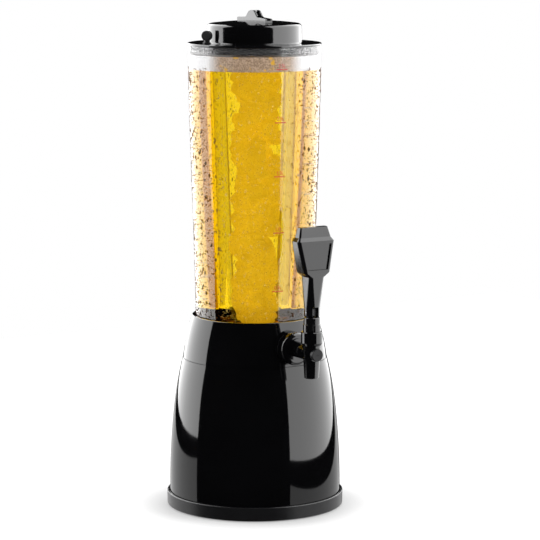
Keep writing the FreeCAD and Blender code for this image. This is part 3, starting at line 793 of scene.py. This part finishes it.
def foamMaterial():
    material, w = newMaterial("foam")
    place = w.place()
    bubbles = w.make("ShaderNodeTexVoronoi", {}, {"Vector": place, "Scale": foamLook["bubbles"]}, "Distance")
    fine = noise(w, place, foamLook["fine"], foamLook["fineDetail"])
    patch = noise(w, place, foamLook["goldScale"])
    paintedSideShare = sidewaysShare(w, place, *foamLook["sides"])
    beige = bubbles.clamped(*foamLook["bubbleEdge"]).between(foamLook["dark"], foamLook["light"])
    gold = patch.clamped(*foamLook["goldEdge"]).between(beige, foamLook["gold"])
    # painted light: the froth is painted white towards the tower's two sides as the camera sees them
    color = paintedSideShare.between(gold, foamLook["side"])
    body = principled(w, {
        "Base Color": color, "Roughness": foamLook["rough"], "IOR": foamLook["ior"],
        "Specular IOR Level": 0.0, "Normal": bumps(w, fine, *foamLook["bump"]),
        # painted glow: the froth shines faintly in its own colour
        "Emission Color": color, "Emission Strength": foamLook["glow"],
    })
    material.cycles.emission_sampling = "NONE"
    clear = w.make("ShaderNodeBsdfTransparent", {}, {"Color": white})
    least, more = foamLook["clearShare"]
    holes = fine.clamped(*foamLook["clearEdge"]) * more + least
    return finishMaterial(material, blended(w, holes, body, clear))


def makeFoam():
    low, high, steps = foam["low"], foam["high"], foam["steps"]
    outerDip, middleDip, innerDip = foam["dips"]
    outline = []
    for k in range(steps + 1):
        z = low + (high - low) * k / steps
        outline.append((smoothRadius(z) - beer["skin"], z))
    outer, inner = outline[-1][0], iceRadius(high)
    outline += [
        (outer - foam["dipReach"], high - outerDip), ((outer + inner) / 2, high - middleDip),
        (inner + foam["dipReach"], high - innerDip),
    ]
    for k in range(steps + 1):
        z = high - (high - low) * k / steps
        outline.append((iceRadius(z) + beer["iceGap"], z))
    addPiece("foam", cleaned(turnedMesh("foam", outline)), "stand", foamMaterial())


makeFoam()
print("foam on top")


# Damp: small and large drops on the tower's skin

drops = {
    "smallDrops": {
        "Count": 9800, "Low": 0.1925, "High": 0.4380, "Smallest": 0.00036, "Largest": 0.00072, "Flat": 0.55,
        "Tall": 1.25, "Seed": 11, "Rounds": 1,
    },
    "largeDrops": {
        "Count": 900, "Low": 0.1930, "High": 0.4370, "Smallest": 0.00075, "Largest": 0.00130, "Flat": 0.45,
        "Tall": 1.6, "Seed": 23, "Rounds": 2,
    },
}
dropSizes = {"bias": 2.5, "tallness": (0.4, 1.6)}  # a high bias leaves few drops near the largest size
dropLook = {
    # painted light and shade: drops are painted yellow in front, for the beer's light they let through, and
    # dark brown at the tower's two sides, a painted shade
    "clear": (1, 0.99, 0.96), "front": (1.0, 0.74, 0.20), "side": (0.16, 0.065, 0.02), "sides": (0.40, 0.62),
    "tone": 200.0, "toneEdge": (0.45, 0.7), "rough": 0.3, "ior": 1.33, "specular": 0.1,
    "share": (0.10, 0.18, 0.50),  # how much is not clear: everywhere, more by the tone, more at the sides
}


def dropMaterial():
    material, w = newMaterial("drops")
    place = w.place()
    tone = noise(w, place, dropLook["tone"])
    paintedSideShare = sidewaysShare(w, place, *dropLook["sides"])
    clear = w.make("ShaderNodeBsdfTransparent", {}, {"Color": dropLook["clear"]})
    # the drops' colour runs from painted light in front to painted shade at the sides
    body = principled(w, {
        "Base Color": paintedSideShare.between(dropLook["front"], dropLook["side"]), "Roughness": dropLook["rough"],
        "IOR": dropLook["ior"], "Specular IOR Level": dropLook["specular"],
    })
    least, byTone, bySide = dropLook["share"]
    share = least + byTone * tone.clamped(*dropLook["toneEdge"]) + bySide * paintedSideShare
    return finishMaterial(material, blended(w, share, clear, body))


def makeDrops():
    finish = dropMaterial()
    for name, settings in drops.items():
        w, entry = growTree(name, {
            "Count": "Int", "Low": "Float", "High": "Float", "Smallest": "Float", "Largest": "Float",
            "Flat": "Float", "Tall": "Float", "Seed": "Int", "Rounds": "Int", "Material": "Material",
        })
        seed = entry["Seed"]
        angle = randomly(w, 0.0, 2 * math.pi, seed)
        height = randomly(w, entry["Low"], entry["High"], seed + 1)
        radius = smoothRadius(height, mm)
        position = vectorOf(w, radius * w.maths("COSINE", angle), radius * w.maths("SINE", angle), height)
        points = w.make("GeometryNodePoints", {}, {"Count": entry["Count"], "Position": position})
        drop = w.make("GeometryNodeMeshIcoSphere", {}, {"Radius": 1.0, "Subdivisions": entry["Rounds"]})
        outward = w.make("GeometryNodeInputPosition").flat()
        facing = w.make("FunctionNodeAlignRotationToVector", {"axis": "X", "pivot_axis": "Z"}, {
            "Vector": outward
        })
        share = w.maths("POWER", randomly(w, 0.0, 1.0, seed + 2), dropSizes["bias"])
        size = entry["Smallest"] + (entry["Largest"] - entry["Smallest"]) * share
        stretch = 1 + (entry["Tall"] - 1) * randomly(w, *dropSizes["tallness"], seed + 3)
        scattered = w.make("GeometryNodeInstanceOnPoints", {}, {
            "Points": points, "Instance": drop, "Rotation": facing,
            "Scale": vectorOf(w, size * entry["Flat"], size, size * stretch),
        })
        addPiece(name, grown(name, w, entry, scattered, dict(settings, Material=finish)), "stand")


makeDrops()
print("drops set")


# Litre marks printed on the tower's skin

marks = {
    # height in millimetres, text, and degrees from the tap's side
    "levels": [
        (437.7, "2.5L", -5.6), (386.6, "2.0L", -6.6), (334.3, "1.5L", -6.6), (279.4, "1.0L", -6.9),
        (222.0, "0.5L", -7.3),
    ],
    "lineLength": 11.5,
    "lineWidth": 0.85,
    "lineSteps": 8,
    "textSize": 5.0,
    "textNarrow": 0.88,
    "textLift": 2.0,
    "skin": 0.06,
    "dark": (0.45, 0.015, 0.035),
    "light": (0.60, 0.03, 0.055),
    "grain": 700.0,
    "rough": 0.5,
}


def textOutline(label):
    # flat letters, as vertices and faces
    curve = bpy.data.curves.new("mark", "FONT")
    curve.body = label
    curve.size = marks["textSize"]
    curve.align_x = "CENTER"
    written = bpy.data.objects.new("mark", curve)
    scene.collection.objects.link(written)
    depsgraph = bpy.context.evaluated_depsgraph_get()
    flat = bpy.data.meshes.new_from_object(written.evaluated_get(depsgraph), depsgraph=depsgraph)
    bpy.data.objects.remove(written)
    points = [tuple(vertex.co) for vertex in flat.vertices]
    return points, [tuple(polygon.vertices) for polygon in flat.polygons]


def makeMarks():
    vertices = []
    faces = []

    def place(x, z, azimuth):
        radius = smoothRadius(z) + marks["skin"]
        angle = math.radians(azimuth) + x / radius
        return (radius * math.sin(angle) * mm, -radius * math.cos(angle) * mm, z * mm)

    steps, length, width = marks["lineSteps"], marks["lineLength"], marks["lineWidth"]
    for level, label, azimuth in marks["levels"]:
        first = len(vertices)
        for step in range(steps + 1):
            x = -length / 2 + length * step / steps
            vertices.append(place(x, level - width / 2, azimuth))
            vertices.append(place(x, level + width / 2, azimuth))
        for step in range(steps):
            a = first + step * 2
            faces.append((a, a + 2, a + 3, a + 1))
        first = len(vertices)
        points, letters = textOutline(label)
        for x, y, _ in points:
            vertices.append(place(x * marks["textNarrow"], level + marks["textLift"] + y, azimuth))
        for letter in letters:
            faces.append(tuple(first + index for index in letter))
    mesh = bpy.data.meshes.new("litreMarks")
    mesh.from_pydata(vertices, [], faces)
    material, w = newMaterial("redPrint")
    color = noise(w, w.place(), marks["grain"]).between(marks["dark"], marks["light"])
    ink = principled(w, {"Base Color": color, "Roughness": marks["rough"]})
    addPiece("litreMarks", mesh, "stand", finishMaterial(material, ink))


makeMarks()
print("litre marks printed")

# Light has to pass many walls and drops before it is lost

scene.cycles.max_bounces = 24
scene.cycles.transmission_bounces = 20
scene.cycles.transparent_max_bounces = 24
scene.cycles.glossy_bounces = 6
